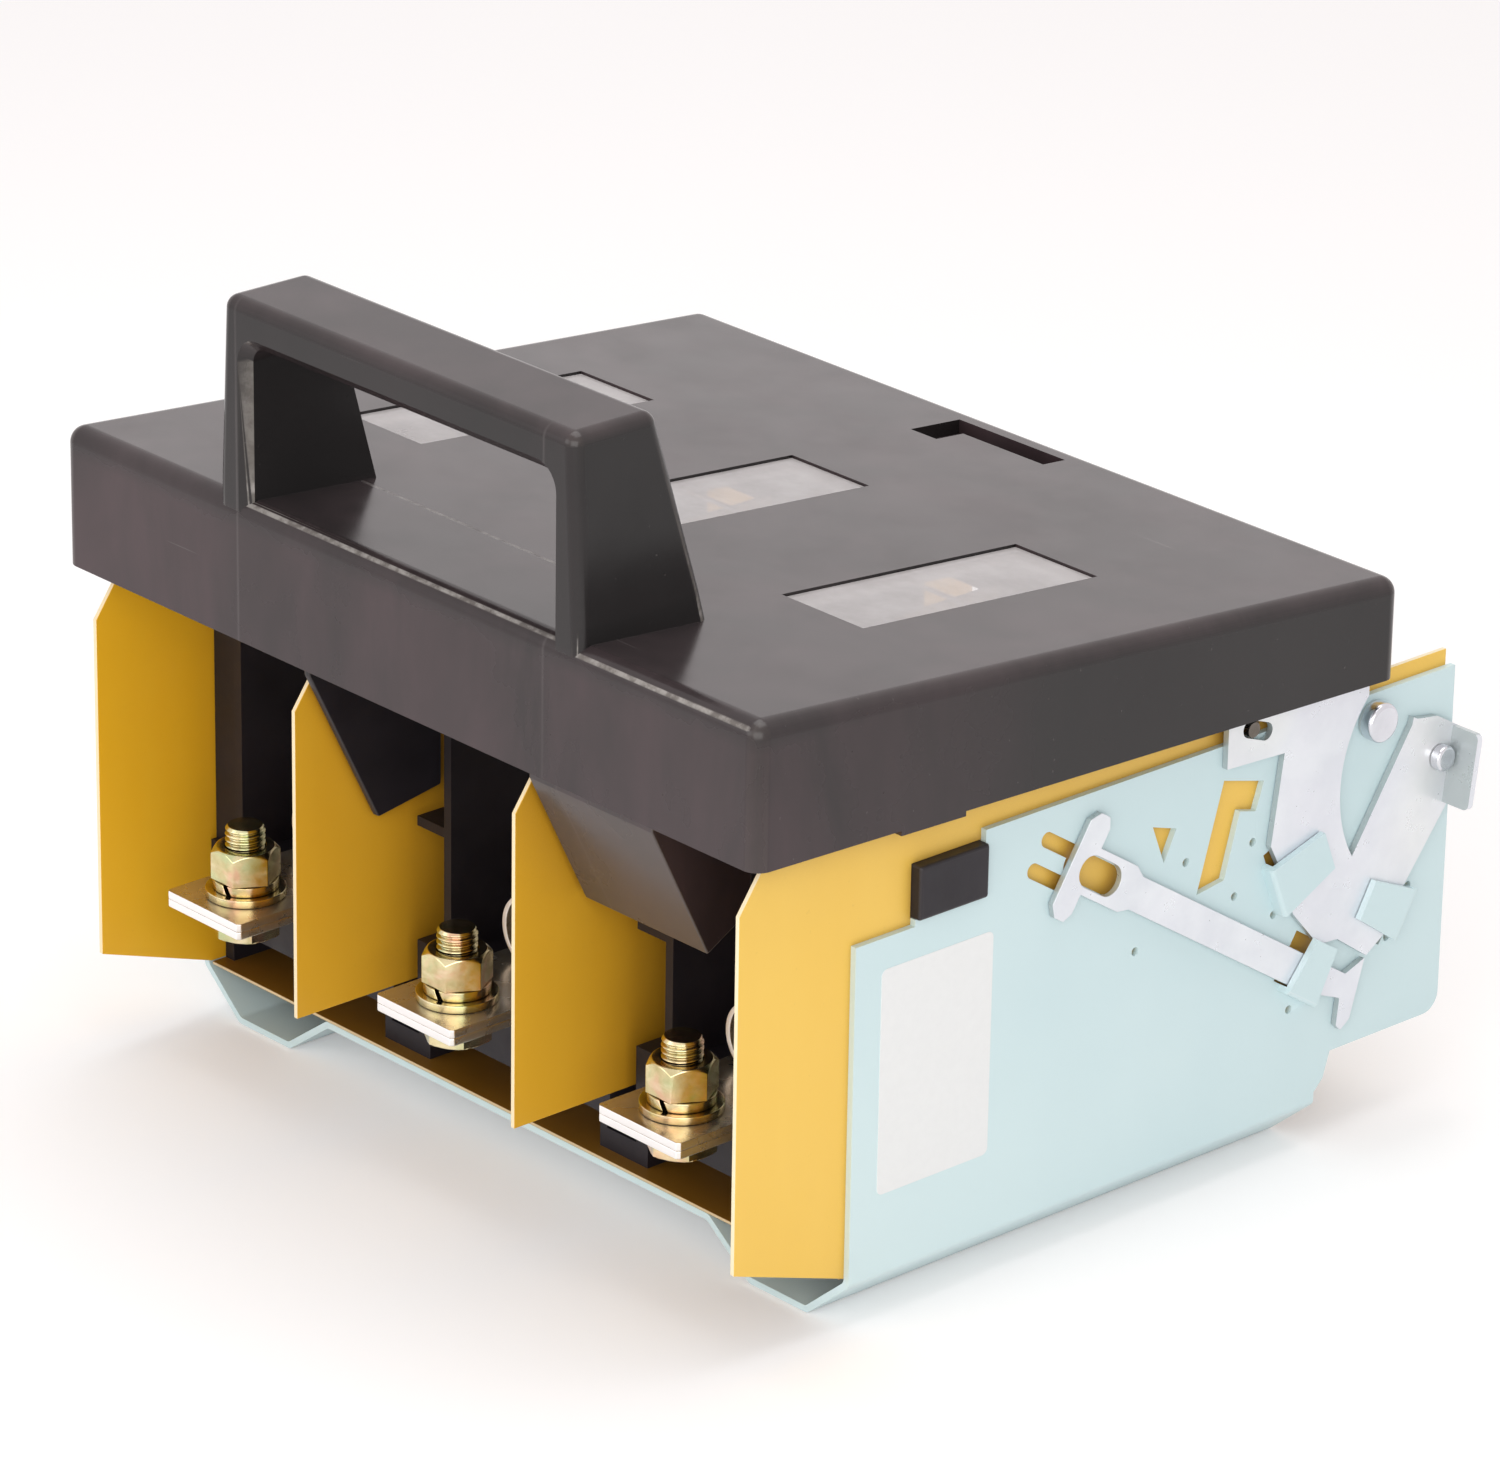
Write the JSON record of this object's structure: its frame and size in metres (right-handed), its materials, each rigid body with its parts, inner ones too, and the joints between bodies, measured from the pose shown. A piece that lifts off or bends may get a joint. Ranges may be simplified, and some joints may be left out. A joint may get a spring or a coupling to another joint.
{
  "type": "fuse switch disconnector",
  "caption": "Low-voltage fuse switch disconnector: folded steel base, barrier sheets, stud terminals, and a hinged black cover with a carrying handle that lifts the blade fuses.",
  "frame": {"origin": "centre of the four mounting holes, on the plane the base stands on", "axes": "+X along the row of poles towards the lever side, +Y from the handle towards the hinge, +Z away from the mounting surface"},
  "size_m": [0.3044, 0.279, 0.255],
  "materials": {
    "cover_moulding": "fine satin black moulding compound",
    "black_moulding": "black moulding compound",
    "barrier_sheet": "yellow insulating sheet, satin",
    "blue_steel": "pale blue powder coat",
    "zinc_steel": "zinc plated steel",
    "plated_copper": "tin plated copper",
    "plated_bolts": "yellow passivated zinc plated steel",
    "fuse_ceramic": "off-white ceramic",
    "clear_window": "clear plastic"
  },
  "bodies": {
    "frame": {"base_frame": "blue_steel", "base_insulation": "barrier_sheet", "side_barrier_right": "barrier_sheet", "side_barrier_left": "barrier_sheet", "pole_barrier_left": "barrier_sheet", "pole_barrier_right": "barrier_sheet", "stopper_block_right": "black_moulding", "stopper_block_left": "black_moulding", "terminal_bolts": "plated_bolts", "terminal_nuts": "plated_bolts", "flat_washers": "plated_bolts", "spring_washers": "plated_bolts", "base_screws": "zinc_steel", "hinge_bolts": "zinc_steel", "hinge_washers": "zinc_steel", "hinge_nuts": "zinc_steel", "lever_rivet": "zinc_steel", "front_pole_base_1": "black_moulding", "rear_pole_base_1": "black_moulding", "front_terminal_plate_1": "plated_copper", "rear_terminal_plate_1": "plated_copper", "front_contact_jaw_1": "plated_copper", "rear_contact_jaw_1": "plated_copper", "front_pole_base_2": "black_moulding", "rear_pole_base_2": "black_moulding", "front_terminal_plate_2": "plated_copper", "rear_terminal_plate_2": "plated_copper", "front_contact_jaw_2": "plated_copper", "rear_contact_jaw_2": "plated_copper", "front_pole_base_3": "black_moulding", "rear_pole_base_3": "black_moulding", "front_terminal_plate_3": "plated_copper", "rear_terminal_plate_3": "plated_copper", "front_contact_jaw_3": "plated_copper", "rear_contact_jaw_3": "plated_copper"},
    "cover_body": {"cover": "cover_moulding", "fuse_clips": "black_moulding", "arc_shield_plate": "black_moulding", "arc_shield_prism": "cover_moulding", "lever_pin": "zinc_steel", "window_1": "clear_window", "window_2": "clear_window", "window_3": "clear_window", "fuse_body_1": "fuse_ceramic", "fuse_body_2": "fuse_ceramic", "fuse_body_3": "fuse_ceramic", "fuse_contacts_1": "plated_copper", "fuse_contacts_2": "plated_copper", "fuse_contacts_3": "plated_copper"},
    "lever_body": {"actuator_lever": "zinc_steel"},
    "link_body": {"link_bar": "zinc_steel"}
  },
  "joints": [
    {"name": "cover_hinge", "type": "hinge", "parent": "frame", "child": "cover_body", "pos_m": [0, 0.109, 0.1303], "axis": [-1, 0, 0], "range_deg": [0, 70]},
    {"name": "lever_pivot", "type": "hinge", "parent": "frame", "child": "lever_body", "pos_m": [0.1438, 0.1358, 0.1122], "axis": [-1, 0, 0], "range_deg": [0, 44]},
    {"name": "link_bar_slide", "type": "slide", "parent": "frame", "child": "link_body", "axis": [0, -0.8415, 0.5402], "range_m": [0, 0.008]}
  ],
  "couplings": [
    {"joint": "lever_pivot", "follows": "cover_hinge", "ratio": 0.623},
    {"joint": "link_bar_slide", "follows": "cover_hinge", "m_per_rad": 0.0065}
  ]
}
